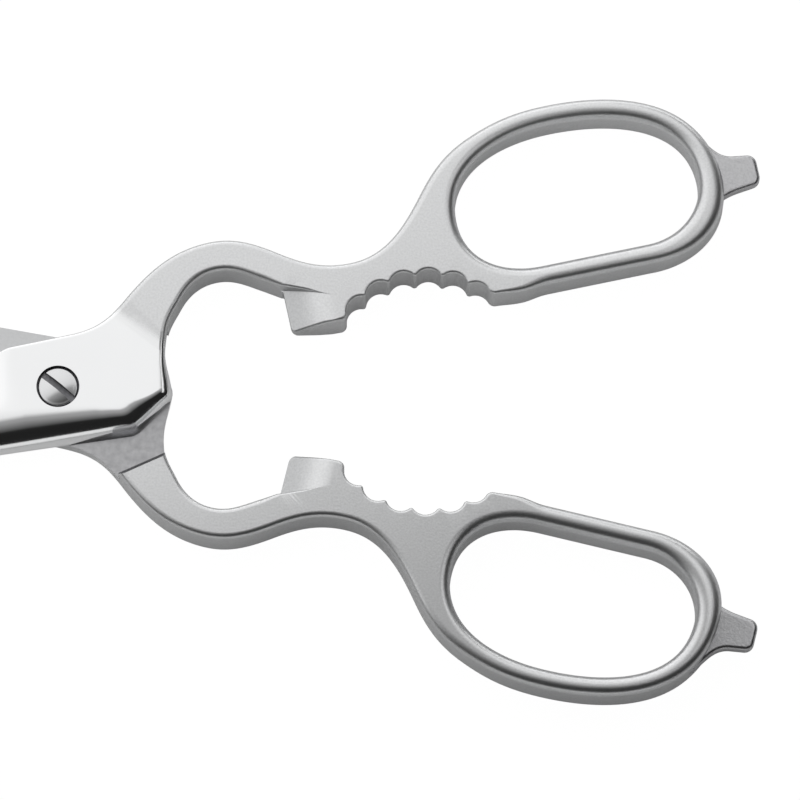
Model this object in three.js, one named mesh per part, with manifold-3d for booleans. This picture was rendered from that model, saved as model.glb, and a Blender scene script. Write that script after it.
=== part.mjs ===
// Multi-purpose kitchen scissors: two forged steel halves that cross in a lap joint
// and turn on one slotted screw. Millimetres, +Z up, lying flat with the screw head on top.
import * as THREE from "three";
import Module from "manifold-3d";

const wasm = await Module();
wasm.setup();

// Pose: angle between the halves, counted from fully closed.
const openAngle = 25.7;

// Thicknesses.
const handleThickness = 8;
const plateThickness = 3.6;
const lapGap = 0.1;
const stopGap = 0.1;

// Step at which the lap ends: heading of its edge, and the bevel along it.
const stepTurn = -38.3;
const stepBevelWidth = 0.6;
const stepBevelDepth = 0.85;

// Pivot plate: distances from the pivot axis.
const spineOffset = 8.6;
const edgeOffset = 7.8;
const spineRim = 2.6;

// Blade.
const bladeLength = 88;
const bladeTaper = 3.4;
const heelX = -6;
const runOut = 15;
const tipThickness = 1.5;
const tipHeight = 1.2;
const edgeLand = 0.15;
const heelRim = 0.6;
const bladeSections = 24;

// Arch: place and height of its crown, arm width there, and room to either side inside it.
const archX = 27.5;
const archTop = 17.75;
const archWidth = 4.8;
const archLeft = 10.2;
const archRight = 9.6;

// Lug: a wedge that thins towards the arch.
const lugDrop = 4.3;
const lugFloor = 1.5;
const lugRun = 7;
const lugTipThickness = 1.8;

// Grip: hollows set round an arc.
const gripRadius = 16.2;
const gripTop = 6.8;
const gripReach = 18.9;
const gripTurn = 4.9;
const hollowCount = 6;
const hollowPitch = 15.8;
const hollowRadius = 2.3;
const toothRound = 0.5;

// Neck between arch and finger loop.
const neckReach = 10.9;
const neckTop = 10;

// Finger loop: the opening, and the ring round it.
const loopReach = 9.45;
const loopLength = 38;
const loopWidth = 21.9;
const loopLift = 0.5;
const ringWidth = 3.1;
const ringSwell = 1;
const ringRim = 1.35;
const holeRim = 1.7;
const ringFlat = 0.05;
const rimClearance = 0.003;

// End tab.
const tabLength = 6.5;
const tabWidth = 5.8;
const tabThickness = 2.4;

// Screw.
const headDiameter = 6.2;
const headHeight = 1.4;
const headSink = 0.15;
const headCrown = 0.5;
const shankDiameter = 4;
const slotWidth = 1.05;
const slotDepth = 0.9;
const slotAngle = -39;
const screwGap = 0.15;

// Rounding and facets.
const handleRim = 0.6;
const gripRim = 0.3;
const rimSteps = 3;
const facetAngle = 10;
const facetLength = 6;

const rad = THREE.MathUtils.degToRad;
const heading = (degrees) => new THREE.Vector2(Math.cos(rad(degrees)), Math.sin(rad(degrees)));

// Walks an outline with the metal on its left. Each station keeps its place, the outward
// normal, and the edge there: width and rise of the rounded rim, and height of the face.
class Pen {
  constructor(x, y, degrees, edge) {
    this.stations = [];
    this.edge = edge;
    this.add(new THREE.Vector2(x, y), heading(degrees), edge);
  }

  add(place, along, edge) {
    const normal = new THREE.Vector2(along.y, -along.x);
    this.stations.push({ place: place.clone(), normal, ...edge });
    this.at = place.clone();
    this.edge = edge;
  }

  // Follows a curve whose place and direction are known at every share of its length.
  follow(steps, placeAt, alongAt, edge) {
    const old = this.edge;
    const mix = (key, t) => THREE.MathUtils.lerp(old[key], edge[key], t);
    for (let i = 1; i <= steps; i++) {
      const t = i / steps;
      this.add(placeAt(t), alongAt(t), { rim: mix("rim", t), rise: mix("rise", t), top: mix("top", t) });
    }
    this.edge = edge;
    return this;
  }

  line(x, y, edge = this.edge) {
    const to = new THREE.Vector2(x, y);
    const along = to.clone().sub(this.at).normalize();
    return this.follow(1, () => to, () => along, edge);
  }

  // Smooth curve that arrives at a point with a given heading.
  curve(x, y, degrees, edge = this.edge, pull = 0.37) {
    const end = new THREE.Vector2(x, y);
    const last = this.stations[this.stations.length - 1].normal;
    const [leave, arrive] = [new THREE.Vector2(-last.y, last.x), heading(degrees)];
    const reach = this.at.distanceTo(end) * pull;
    const first = this.at.clone().addScaledVector(leave, reach);
    const second = end.clone().addScaledVector(arrive, -reach);
    const path = new THREE.CubicBezierCurve(this.at.clone(), first, second, end);
    const chord = end.clone().sub(this.at).normalize();
    const turn = Math.acos(Math.min(1, chord.dot(leave))) + Math.acos(Math.min(1, chord.dot(arrive)));
    const steps = Math.max(2, Math.ceil(turn / rad(facetAngle)), Math.ceil(path.getLength() / facetLength));
    return this.follow(steps, (t) => path.getPoint(t), (t) => path.getTangent(t), edge);
  }

  // Arc about a centre, from one angle to another in degrees.
  arc(x, y, radius, from, to, edge = this.edge) {
    const centre = new THREE.Vector2(x, y);
    const angle = (t) => THREE.MathUtils.lerp(from, to, t);
    const placeAt = (t) => centre.clone().addScaledVector(heading(angle(t)), radius);
    const alongAt = (t) => heading(angle(t) + (to > from ? 90 : -90));
    const start = placeAt(0);
    if (start.distanceTo(this.at) > 0.01) this.add(start, alongAt(0), this.edge);
    const steps = Math.max(2, Math.ceil(Math.abs(to - from) / (2 * facetAngle)));
    return this.follow(steps, placeAt, alongAt, edge);
  }

  // Runs straight towards a corner and rounds it into a new heading.
  corner(x, y, degrees, radius, edge = this.edge) {
    const point = new THREE.Vector2(x, y);
    const arrive = point.clone().sub(this.at).normalize();
    const leave = heading(degrees);
    const turn = Math.atan2(arrive.cross(leave), arrive.dot(leave));
    const cut = radius * Math.tan(Math.abs(turn) / 2);
    const start = point.clone().addScaledVector(arrive, -cut);
    this.line(start.x, start.y, edge);
    const side = Math.sign(turn);
    const centre = start.clone().add(new THREE.Vector2(-arrive.y, arrive.x).multiplyScalar(side * radius));
    const from = THREE.MathUtils.radToDeg(Math.atan2(start.y - centre.y, start.x - centre.x));
    return this.arc(centre.x, centre.y, radius, from, from + THREE.MathUtils.radToDeg(turn), edge);
  }
}

// Flat polygon split into triangles that all turn anticlockwise.
function fill(outline, holes = []) {
  const points = [outline, ...holes].flat();
  return THREE.ShapeUtils.triangulateShape(outline, holes).map(([a, b, c]) => {
    const ab = points[b].clone().sub(points[a]);
    const ac = points[c].clone().sub(points[a]);
    return ab.cross(ac) < 0 ? [a, c, b] : [a, b, c];
  });
}

function solidFrom(points, triangles) {
  const geometry = new THREE.BufferGeometry().setFromPoints(points);
  geometry.setIndex(triangles.flat());
  return toSolid(geometry);
}

// Closed three.js geometry as a solid that can be joined and cut.
function toSolid(source) {
  const spot = source.getAttribute("position");
  const index = source.index ? source.index.array : [...Array(spot.count).keys()];
  const known = new Map();
  const places = [];
  const number = (i) => {
    const key = [spot.getX(i), spot.getY(i), spot.getZ(i)].map((v) => Math.round(v * 1e5)).join(" ");
    if (!known.has(key)) {
      known.set(key, known.size);
      places.push(spot.getX(i), spot.getY(i), spot.getZ(i));
    }
    return known.get(key);
  };
  const triangles = [];
  for (let i = 0; i < index.length; i += 3) {
    const [a, b, c] = [number(index[i]), number(index[i + 1]), number(index[i + 2])];
    if (a !== b && b !== c && c !== a) triangles.push(a, b, c);
  }
  const vertProperties = new Float32Array(places);
  const triVerts = new Uint32Array(triangles);
  return new wasm.Manifold(new wasm.Mesh({ numProp: 3, vertProperties, triVerts }));
}

function toMesh(solid, name, material) {
  const data = solid.getMesh();
  const geometry = new THREE.BufferGeometry();
  geometry.setAttribute("position", new THREE.BufferAttribute(new Float32Array(data.vertProperties), 3));
  geometry.setIndex([...data.triVerts]);
  geometry.computeVertexNormals();
  const mesh = new THREE.Mesh(geometry, material);
  mesh.name = name;
  return mesh;
}

// Plate between an outline and its hole with rounded rims. The upper face is split along
// the given cuts, so that it may change height from one part to the next.
function rimmedPlate(outline, hole, bottom, faces) {
  const all = [...outline, ...hole];
  const rows = [];
  for (let k = 0; k <= rimSteps; k++) {
    const turn = (Math.PI / 2) * (1 - k / rimSteps);
    rows.push((s) => [s.rim * (1 - Math.cos(turn)), bottom + s.rise * (1 - Math.sin(turn))]);
  }
  for (let k = 0; k <= rimSteps; k++) {
    const turn = (Math.PI / 2) * (k / rimSteps);
    rows.push((s) => [s.rim * (1 - Math.cos(turn)), s.top - s.rise * (1 - Math.sin(turn))]);
  }
  const points = rows.flatMap((row) => all.map((s) => {
    const [inset, z] = row(s);
    return new THREE.Vector3(s.place.x - s.normal.x * inset, s.place.y - s.normal.y * inset, z);
  }));
  const triangles = [];
  for (let row = 0; row < rows.length - 1; row++) {
    const [low, high] = [row * all.length, (row + 1) * all.length];
    for (const [start, count] of [[0, outline.length], [outline.length, hole.length]]) {
      for (let i = 0; i < count; i++) {
        const [a, b] = [start + i, start + (i + 1) % count];
        triangles.push([low + a, low + b, high + b], [low + a, high + b, high + a]);
      }
    }
  }
  const flat = (row, members) => members.map((i) => {
    const p = points[row * all.length + i];
    return new THREE.Vector2(p.x, p.y);
  });
  const span = (from, to) => Array.from({ length: to - from }, (_, i) => from + i);
  const rimRow = span(0, outline.length);
  const holeRow = span(outline.length, all.length);
  const lower = fill(flat(0, rimRow), hole.length ? [flat(0, holeRow)] : []);
  for (const [a, b, c] of lower) triangles.push([a, c, b]);
  const last = rows.length - 1;
  for (const { members, holed } of faces ?? [{ members: rimRow, holed: hole.length > 0 }]) {
    const corners = holed ? [...members, ...holeRow] : members;
    const upper = fill(flat(last, members), holed ? [flat(last, holeRow)] : []);
    for (const triangle of upper) triangles.push(triangle.map((i) => last * all.length + corners[i]));
  }
  return solidFrom(points, triangles);
}

// Skin over a row of sections that have the same number of corners.
function loft(sections) {
  const size = sections[0].length;
  const triangles = [];
  for (let i = 0; i < sections.length - 1; i++) {
    for (let j = 0; j < size; j++) {
      const next = (j + 1) % size;
      const [a, b] = [i * size + j, i * size + next];
      triangles.push([a, b + size, b], [a, a + size, b + size]);
    }
  }
  const ends = [[0, false], [sections.length - 1, true]];
  for (const [i, reverse] of ends) {
    const face = sections[i].map((p) => new THREE.Vector2(p.y, p.z));
    const clockwise = THREE.ShapeUtils.area(face) < 0;
    for (const [a, b, c] of fill(face)) {
      const triangle = reverse === clockwise ? [a, b, c] : [a, c, b];
      triangles.push(triangle.map((n) => i * size + n));
    }
  }
  return solidFrom(sections.flat(), triangles);
}

function prism(corners, from, to) {
  const shape = new THREE.Shape(corners.map(([x, y]) => new THREE.Vector2(x, y)));
  const geometry = new THREE.ExtrudeGeometry(shape, { depth: to - from, bevelEnabled: false });
  return toSolid(geometry.translate(0, 0, from));
}

function drum(diameter, from, to) {
  const geometry = new THREE.CylinderGeometry(diameter / 2, diameter / 2, to - from, 48);
  return toSolid(geometry.rotateX(Math.PI / 2).translate(0, 0, (from + to) / 2));
}

// One half lies in its own frame: pivot at the origin, X towards the handle, Y towards its
// own finger loop, Z out of its outer face. The halves meet at z = 0, and y = 0 is the line
// on which the two handles meet when the scissors are closed.
const faceZ = handleThickness / 2;
const lapZ = lapGap / 2;
const lugX = archX + archRight;
const lugRootY = archTop - archWidth - lugDrop;
const gripX = lugX + gripReach;
const gripY = gripTop - gripRadius;
const loopX = gripX + loopReach;
const holeBottom = loopLift + ringWidth;
const holeRound = Math.min(holeRim, 0.6 * ringWidth);
const ringRound = Math.min(ringRim, ringWidth - holeRound - ringFlat);
const round = (radius, top = faceZ) => ({ rim: radius, rise: radius, top });
const spineSlope = Math.tan(rad(bladeTaper));

// Finger hole, walked with the metal on the left.
function fingerHole() {
  const [left, right] = [loopX, loopX + loopLength];
  const [low, high] = [holeBottom, holeBottom + loopWidth];
  const middle = low + 0.43 * loopWidth;
  const start = left + 0.74 * loopLength;
  const pen = new Pen(start, low, 180, round(holeRound));
  const flatEnd = pen.line(left + 0.3 * loopLength, low).stations.length - 1;
  pen.curve(left, middle, 90, round(holeRound), 0.42);
  const top = pen.curve(left + 0.46 * loopLength, high, 0, round(holeRound), 0.42).stations.length - 1;
  pen.curve(right, middle, -90, round(holeRound), 0.4);
  pen.curve(start, low, 180, round(holeRound), 0.4);
  pen.stations.pop();
  return { stations: pen.stations, flatEnd, top };
}

const spineAt = (x) => -spineOffset - spineSlope * x;

// Where the outline leaves the ring, its rim stays clear of the rim of the hole.
function limitRims(stations, first, hole) {
  const side = new THREE.Line3();
  const spot = new THREE.Vector3();
  const near = new THREE.Vector3();
  for (let i = first; i < stations.length; i++) {
    let wall = Infinity;
    side.start.set(stations[i].place.x, stations[i].place.y, 0);
    for (const { place } of [stations[i - 1], stations[(i + 1) % stations.length]]) {
      side.end.set(place.x, place.y, 0);
      for (const edge of hole) {
        spot.set(edge.place.x, edge.place.y, 0);
        wall = Math.min(wall, side.closestPointToPoint(spot, true, near).distanceTo(spot));
      }
    }
    stations[i].rim = Math.min(stations[i].rim, wall - holeRound - rimClearance);
  }
}

// Outline of pivot plate and handle, walked from the heel of the blade along the spine,
// round the arch, lug, grip and loop, and back over the outside.
function handleOutline(hole) {
  const marks = {};
  const count = () => pen.stations.length - 1;
  const pen = new Pen(heelX, spineAt(heelX), 0, round(spineRim, plateThickness));
  const bend = archX - 17.1;
  pen.corner(bend, spineAt(bend), 35, 3, round(2, plateThickness));
  pen.corner(archX - archLeft - 0.3, spineAt(0) + 3.9, 86, 1.6, round(1, plateThickness));
  pen.curve(archX - 10.3, 2.2, 80, round(handleRim, plateThickness));
  marks.innerCrease = count();
  pen.curve(archX - 9.5, 5, 72, round(handleRim));
  marks.innerFace = count();
  const inside = archTop - archWidth;
  pen.curve(archX - 6.2, inside - 3.1, 50);
  pen.curve(archX, inside, 0);
  pen.curve(lugX - 2.6, inside - 2.5, -32);
  pen.corner(lugX, lugRootY, -90, 0.8, round(0.6));
  pen.corner(lugX, lugFloor, -2, 1.2, round(0.5));

  // Hollows sit round an arc, with a rounded tooth between neighbours. The first tooth is
  // the corner of the lug and the last one the corner of the stop pad.
  const grip = new THREE.Vector2(gripX, gripY);
  const hollowTurn = (i) => 90 - gripTurn - (i - (hollowCount - 1) / 2) * hollowPitch;
  const centreRadius = gripRadius - hollowRadius;
  const hollows = [];
  for (let i = 0; i < hollowCount; i++) {
    hollows.push(grip.clone().addScaledVector(heading(hollowTurn(i)), centreRadius));
  }
  const cornerTooth = (hollow, floor, radius, side) => {
    const y = floor + radius;
    const x = hollow.x + side * Math.sqrt((hollowRadius + radius) ** 2 - (hollow.y - y) ** 2);
    return { at: new THREE.Vector2(x, y), radius };
  };
  const halfPitch = rad(hollowPitch / 2);
  const toothReach = centreRadius * Math.cos(halfPitch)
    + Math.sqrt((hollowRadius + toothRound) ** 2 - (centreRadius * Math.sin(halfPitch)) ** 2);
  const teeth = [cornerTooth(hollows[0], lugFloor - 0.25, 1.1, -1)];
  for (let i = 0; i < hollowCount - 1; i++) {
    const turn = heading((hollowTurn(i) + hollowTurn(i + 1)) / 2);
    teeth.push({ at: grip.clone().addScaledVector(turn, toothReach), radius: toothRound });
  }
  teeth.push(cornerTooth(hollows[hollowCount - 1], stopGap / 2 + 0.4, 1.2, 1));
  const bearing = (from, to) => {
    const degrees = THREE.MathUtils.radToDeg(Math.atan2(to.y - from.y, to.x - from.x));
    return degrees > 90 ? degrees - 360 : degrees;
  };
  teeth.forEach(({ at, radius }, i) => {
    const from = i === 0 ? -92 : bearing(at, hollows[i - 1]);
    const to = i === hollowCount ? -94 : bearing(at, hollows[i]);
    pen.arc(at.x, at.y, radius, from, to < from ? to + 360 : to, round(gripRim));
    if (i === hollowCount) return;
    const enter = bearing(hollows[i], at);
    const leave = bearing(hollows[i], teeth[i + 1].at);
    pen.arc(hollows[i].x, hollows[i].y, hollowRadius, enter < leave ? enter + 360 : enter, leave);
  });
  pen.curve(loopX + 0.2 * loopLength, stopGap / 2, 0, round(handleRim));

  // The ring follows the finger hole and swells towards the end tab.
  const swellAt = heading(-32);
  const ring = [];
  for (let i = hole.flatEnd; i !== hole.top; i = (i + hole.stations.length - 1) % hole.stations.length) {
    ring.push(hole.stations[i]);
  }
  [...ring, hole.stations[hole.top]].forEach(({ place, normal }, i) => {
    const swell = ringSwell * Math.max(0, -normal.dot(swellAt)) ** 4;
    const outer = place.clone().addScaledVector(normal, -ringWidth - swell);
    const edge = { rim: ringRound + swell, rise: ringRound + swell / 2, top: faceZ };
    if (i === 0) pen.curve(outer.x, outer.y, 0, edge);
    else pen.add(outer, new THREE.Vector2(normal.y, -normal.x), edge);
  });
  marks.ringEnd = count();
  pen.curve(loopX + 4.5, holeBottom + loopWidth + 0.5, 203, round(ringRound));
  pen.curve(loopX - 4.5, holeBottom + 0.69 * loopWidth, 232, round(1.2));
  pen.curve(lugX + neckReach, neckTop, 180, round(handleRim));
  pen.curve(archX + 10.2, (archTop + neckTop) / 2 - 0.2, 145);
  pen.curve(archX, archTop, 180);
  pen.curve(archX - 14.3, archTop - 6, 219);
  marks.outerFace = count();
  pen.curve(archX - 17.2, archTop - 8.1, 212, round(0.8, plateThickness));
  marks.outerCrease = count();
  pen.curve(3, edgeOffset, 180, round(heelRim, plateThickness));
  pen.line(heelX, edgeOffset);
  return { stations: pen.stations, marks };
}

// Blade sections from heel to tip: rounded spine, flat grind on the outer face, and a
// cutting edge on the inner face. The grind runs out in a curve across the heel.
function blade() {
  const { lerp, smoothstep } = THREE.MathUtils;
  const reach = bladeLength + heelX;
  const fall = (plateThickness - 0.7) / (edgeOffset + spineOffset - spineRim);
  const sections = [];
  for (let i = 0; i <= bladeSections; i++) {
    const along = (i / bladeSections) ** 1.8;
    const x = heelX - reach * along;
    const edge = lerp(edgeOffset, tipHeight / 2, along);
    const spine = lerp(spineAt(x), edge - tipHeight, Math.max(0, 2 * along - 1) ** 3);
    const thick = lerp(plateThickness, tipThickness, along);
    const rim = Math.min(spineRim, 0.8 * thick, 0.45 * (edge - spine));
    const out = Math.min(1, reach * along / runOut);
    const grindTop = lerp(edge - heelRim, spine + rim + 0.05, 1 - (1 - out) ** 6);
    const bevelTop = Math.max(lapZ + 0.45, thick - (edge - grindTop) * fall);
    const sharp = smoothstep(out, 0, 0.4);
    const section = [new THREE.Vector3(x, edge, lapZ)];
    for (let k = 0; k <= rimSteps; k++) {
      const share = k / rimSteps;
      const turn = (Math.PI / 2) * share;
      const y = lerp(edge - heelRim * (1 - Math.cos(turn)), edge - 0.5 * share, sharp);
      const blunt = thick - heelRim * (1 - Math.sin(turn));
      section.push(new THREE.Vector3(x, y, lerp(blunt, lerp(lapZ + edgeLand, bevelTop, share), sharp)));
    }
    section.push(new THREE.Vector3(x, grindTop - 0.05, thick));
    for (let k = rimSteps; k >= 0; k--) {
      const turn = (Math.PI / 2) * (k / rimSteps);
      const z = thick - rim * (1 - Math.sin(turn));
      section.push(new THREE.Vector3(x, spine + rim * (1 - Math.cos(turn)), z));
    }
    section.push(new THREE.Vector3(x, spine, lapZ));
    sections.push(section);
  }
  return loft(sections);
}

// Thin flat tab on the end of the finger loop, with a flare on either side of its root.
function endTab() {
  const wall = loopX + loopLength + 0.5 * ringWidth;
  const end = loopX + loopLength + ringWidth + tabLength;
  const y = holeBottom + 0.4 * loopWidth;
  const flank = tabWidth / 2;
  const top = tabThickness / 2;
  const pen = new Pen(wall - 2.4, y - 7, 46, round(0.4, top));
  pen.curve(end - 3.4, y - flank, 14);
  pen.corner(end, y - flank + 0.6, 90, 1.5);
  pen.corner(end, y + flank - 0.6, 166, 1.5);
  pen.line(end - 3.4, y + flank);
  pen.curve(wall - 0.6, y + flank + 5.2, 132);
  pen.line(wall - 0.6, y + 2);
  pen.line(wall - 1, y - 4);
  return rimmedPlate(pen.stations, [], -top);
}

// Wedge taken off one face of the lug, up to the wall of the arch arm.
function lugWedge(side) {
  const [left, right] = [lugX - 1.5, lugX + lugRun];
  const floor = lugFloor - 2;
  const plan = prism([[left, floor], [right + 1, floor], [right, lugRootY - 3.6], [left, lugRootY]],
    -handleThickness, handleThickness);
  const tip = lugTipThickness / 2;
  const slope = (faceZ - tip) / lugRun;
  const low = tip - slope * (lugX - left + 1);
  const profile = [[left - 1, low], [right, faceZ], [right, faceZ + 1], [left - 1, faceZ + 1]];
  const shape = new THREE.Shape(profile.map(([x, z]) => new THREE.Vector2(x, side * z)));
  const slab = new THREE.ExtrudeGeometry(shape, { depth: 80, bevelEnabled: false });
  return plan.intersect(toSolid(slab.translate(0, 0, -40).rotateX(Math.PI / 2)));
}

// Space in which the other half slides, up to a straight step with a bevelled edge.
function lapSpace() {
  const below = -2 * faceZ;
  const outside = (stepBevelWidth / stepBevelDepth) * (-faceZ - below) + stepBevelWidth;
  const profile = [[-60, lapZ], [-60, below], [outside, below], [0, stepBevelDepth - faceZ], [0, lapZ]];
  const shape = new THREE.Shape(profile.map(([across, z]) => new THREE.Vector2(across, z)));
  const run = heading(stepTurn);
  const frame = new THREE.Matrix4().makeBasis(
    new THREE.Vector3(-run.y, run.x, 0), new THREE.Vector3(0, 0, 1), new THREE.Vector3(run.x, run.y, 0));
  const space = new THREE.ExtrudeGeometry(shape, { depth: 90, bevelEnabled: false });
  space.translate(0, 0, -45).applyMatrix4(frame);
  return toSolid(space.translate(archX - 15.2, archTop - 6.7, 0));
}

function half(bore) {
  const hole = fingerHole();
  const { stations, marks } = handleOutline(hole);
  limitRims(stations, marks.ringEnd + 1, hole.stations);
  const range = (from, to) => Array.from({ length: to - from + 1 }, (_, i) => from + i);
  const { innerCrease, innerFace, outerFace, outerCrease } = marks;
  const faces = [
    { members: [...range(outerCrease, stations.length - 1), ...range(0, innerCrease)] },
    { members: [...range(innerCrease, innerFace), ...range(outerFace, outerCrease)] },
    { members: range(innerFace, outerFace), holed: true },
  ];
  const plate = rimmedPlate(stations, hole.stations, -faceZ, faces);

  const lap = lapSpace();
  const handle = plate.subtract(lap).subtract(lugWedge(1)).subtract(lugWedge(-1));
  return handle.add(blade()).add(endTab()).subtract(bore);
}

// Screw: lens head with a slot, plain shank down to the back of the lower half.
const headSeat = plateThickness - headHeight;
const brim = plateThickness - headSink;
const headRadius = headDiameter / 2;
const crownRadius = headRadius - 0.25;
const shankRadius = shankDiameter / 2;
const profile = [
  [0, -plateThickness + 0.1],
  [shankRadius - 0.3, -plateThickness + 0.1],
  [shankRadius, -plateThickness + 0.4],
  [shankRadius, headSeat + screwGap / 2],
  [headRadius, headSeat + screwGap / 2],
  [headRadius, brim - 0.25],
  ...[1, 0.75, 0.5, 0.25, 0].map((share) => [crownRadius * share, brim + headCrown * (1 - share ** 2)]),
].map(([x, y]) => new THREE.Vector2(x, y));
const turned = toSolid(new THREE.LatheGeometry(profile, 48).rotateX(Math.PI / 2));
const slotSize = [headDiameter + 1, slotWidth, slotDepth + headCrown + 1];
const slotBox = new THREE.BoxGeometry(...slotSize);
slotBox.translate(0, 0, plateThickness - slotDepth + slotSize[2] / 2);
const screw = turned.subtract(toSolid(slotBox.rotateZ(rad(slotAngle))));

const shankBore = drum(shankDiameter + 2 * screwGap, -1, plateThickness + 1);
const headBore = drum(headDiameter + 2 * screwGap, headSeat, plateThickness + 1);

const steel = () => new THREE.MeshStandardMaterial({ color: 0xc9cbcd, metalness: 1, roughness: 0.34 });
const polished = new THREE.MeshStandardMaterial({ color: 0xd8dadc, metalness: 1, roughness: 0.12 });

const upper = toMesh(half(shankBore.add(headBore)), "upper_half", steel());
upper.rotation.z = rad(openAngle / 2);
const lower = toMesh(half(shankBore), "lower_half", steel());
lower.rotation.set(Math.PI, 0, -rad(openAngle / 2), "ZYX");
const pivot = toMesh(screw, "pivot_screw", polished);

// The origin is the middle of the footprint, on the surface that the handles lie on.
const scissors = new THREE.Group();
scissors.name = "scissors";
scissors.add(lower, upper, pivot);
for (const piece of scissors.children) piece.position.z = faceZ;
scissors.updateMatrixWorld(true);
const box = new THREE.Box3().setFromObject(scissors, true);
for (const piece of scissors.children) piece.position.x = -(box.min.x + box.max.x) / 2;

export default scissors;
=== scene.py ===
import math

import bmesh
import bpy
from mathutils import Matrix, Vector
from mathutils.geometry import interpolate_bezier


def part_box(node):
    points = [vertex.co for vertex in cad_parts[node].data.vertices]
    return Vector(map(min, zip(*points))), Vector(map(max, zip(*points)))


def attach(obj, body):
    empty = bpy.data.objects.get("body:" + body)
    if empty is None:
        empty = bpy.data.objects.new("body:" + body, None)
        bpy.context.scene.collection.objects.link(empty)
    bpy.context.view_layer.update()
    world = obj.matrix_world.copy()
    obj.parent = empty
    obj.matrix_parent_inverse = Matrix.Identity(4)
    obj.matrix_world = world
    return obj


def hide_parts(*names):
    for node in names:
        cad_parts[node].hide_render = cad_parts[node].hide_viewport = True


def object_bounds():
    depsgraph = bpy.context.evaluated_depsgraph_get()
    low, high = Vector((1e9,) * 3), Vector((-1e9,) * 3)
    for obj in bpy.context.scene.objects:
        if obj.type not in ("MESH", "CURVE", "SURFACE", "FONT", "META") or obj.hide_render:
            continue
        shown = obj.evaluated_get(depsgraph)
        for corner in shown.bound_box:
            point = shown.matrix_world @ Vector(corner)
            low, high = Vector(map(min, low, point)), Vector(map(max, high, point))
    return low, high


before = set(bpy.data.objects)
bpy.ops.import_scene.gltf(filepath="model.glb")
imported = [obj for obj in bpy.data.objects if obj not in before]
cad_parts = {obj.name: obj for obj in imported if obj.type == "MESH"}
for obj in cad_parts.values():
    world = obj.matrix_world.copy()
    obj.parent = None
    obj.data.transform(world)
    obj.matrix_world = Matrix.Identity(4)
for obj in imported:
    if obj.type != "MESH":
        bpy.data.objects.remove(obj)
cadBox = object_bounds()
screwLow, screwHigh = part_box("pivot_screw")
pivot = (screwLow + screwHigh) / 2  # the halves turn about this point
pivot.z = (cadBox[0].z + cadBox[1].z) / 2
print("frame loaded, pivot at", [round(c, 5) for c in pivot])

mm = 0.001
openAngle = 25.7  # between the halves, as photographed


# materials

def makeMaterial(name):
    material = bpy.data.materials.new(name)
    material.use_nodes = True
    tree = material.node_tree
    shader = tree.nodes["Principled BSDF"]
    return material, tree, shader


def addNode(tree, kind, settings=None, **links):
    node = tree.nodes.new(kind)
    for key, value in (settings or {}).items():
        if hasattr(node, key):
            setattr(node, key, value)
        else:
            node.inputs[key].default_value = value
    for key, socket in links.items():
        tree.links.new(socket, node.inputs[key])
    return node


def mixColours(tree, share, first, second):
    mix = addNode(tree, "ShaderNodeMix", {"data_type": "RGBA"})
    tree.links.new(share, mix.inputs["Factor"])
    for socket, colour in ((mix.inputs[6], first), (mix.inputs[7], second)):
        if isinstance(colour, bpy.types.NodeSocket):
            tree.links.new(colour, socket)
        else:
            socket.default_value = (*colour, 1.0)
    return mix.outputs[2]


def addGrain(tree, scale, detail=3.0):
    place = addNode(tree, "ShaderNodeTexCoord")
    grain = addNode(tree, "ShaderNodeTexNoise", {"Scale": scale, "Detail": detail},
                    Vector=place.outputs["Object"])
    return grain.outputs["Fac"]


steelFinish = {
    "satinDark": (0.6, 0.605, 0.61), "satinLight": (0.82, 0.825, 0.83), "satinRoughness": 0.35,
    # the next line's two colours are painted shade, darker steel for the lug's slope
    "lugShadeDark": (0.44, 0.445, 0.45), "lugShadeLight": (0.66, 0.665, 0.67),
    "polishDark": (0.86, 0.865, 0.87), "polishLight": (0.9, 0.905, 0.91), "polishRoughness": 0.12,
    "grainScale": 3000.0, "grainDepth": 0.3, "cloudScale": 60.0,
}


def makeForgedSteel(name):
    material, tree, shader = makeMaterial(name)
    shader.inputs["Metallic"].default_value = 1.0
    polish = addNode(tree, "ShaderNodeAttribute", {"attribute_name": "polish"}).outputs["Fac"]
    grain = addGrain(tree, steelFinish["grainScale"])
    clouds = addGrain(tree, steelFinish["cloudScale"])
    lugShade = addNode(tree, "ShaderNodeAttribute", {"attribute_name": "lugShade"}).outputs["Fac"]
    satin = mixColours(tree, grain, steelFinish["satinDark"], steelFinish["satinLight"])
    # painted shade: a darker steel colour mixed in down the lug's slope
    lugShaded = mixColours(tree, grain, steelFinish["lugShadeDark"], steelFinish["lugShadeLight"])
    satin = mixColours(tree, lugShade, satin, lugShaded)
    bright = mixColours(tree, clouds, steelFinish["polishDark"], steelFinish["polishLight"])
    tree.links.new(mixColours(tree, polish, satin, bright), shader.inputs["Base Color"])
    roughness = addNode(tree, "ShaderNodeMapRange", {
        "To Min": steelFinish["satinRoughness"], "To Max": steelFinish["polishRoughness"],
    }, Value=polish)
    tree.links.new(roughness.outputs["Result"], shader.inputs["Roughness"])
    depth = addNode(tree, "ShaderNodeMapRange", {"To Min": steelFinish["grainDepth"], "To Max": 0.0},
                    Value=polish)
    bump = addNode(tree, "ShaderNodeBump", {"Distance": 0.00005}, Height=grain,
                   Strength=depth.outputs["Result"])
    tree.links.new(bump.outputs["Normal"], shader.inputs["Normal"])
    return material


def makeMatteSteel(name, dark, light, roughness, scale=1800.0, depth=0.3):
    material, tree, shader = makeMaterial(name)
    shader.inputs["Metallic"].default_value = 1.0
    shader.inputs["Roughness"].default_value = roughness
    grain = addGrain(tree, scale, 2.0)
    tree.links.new(mixColours(tree, grain, dark, light), shader.inputs["Base Color"])
    bump = addNode(tree, "ShaderNodeBump", {"Distance": 0.0001, "Strength": depth}, Height=grain)
    tree.links.new(bump.outputs["Normal"], shader.inputs["Normal"])
    return material


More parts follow.
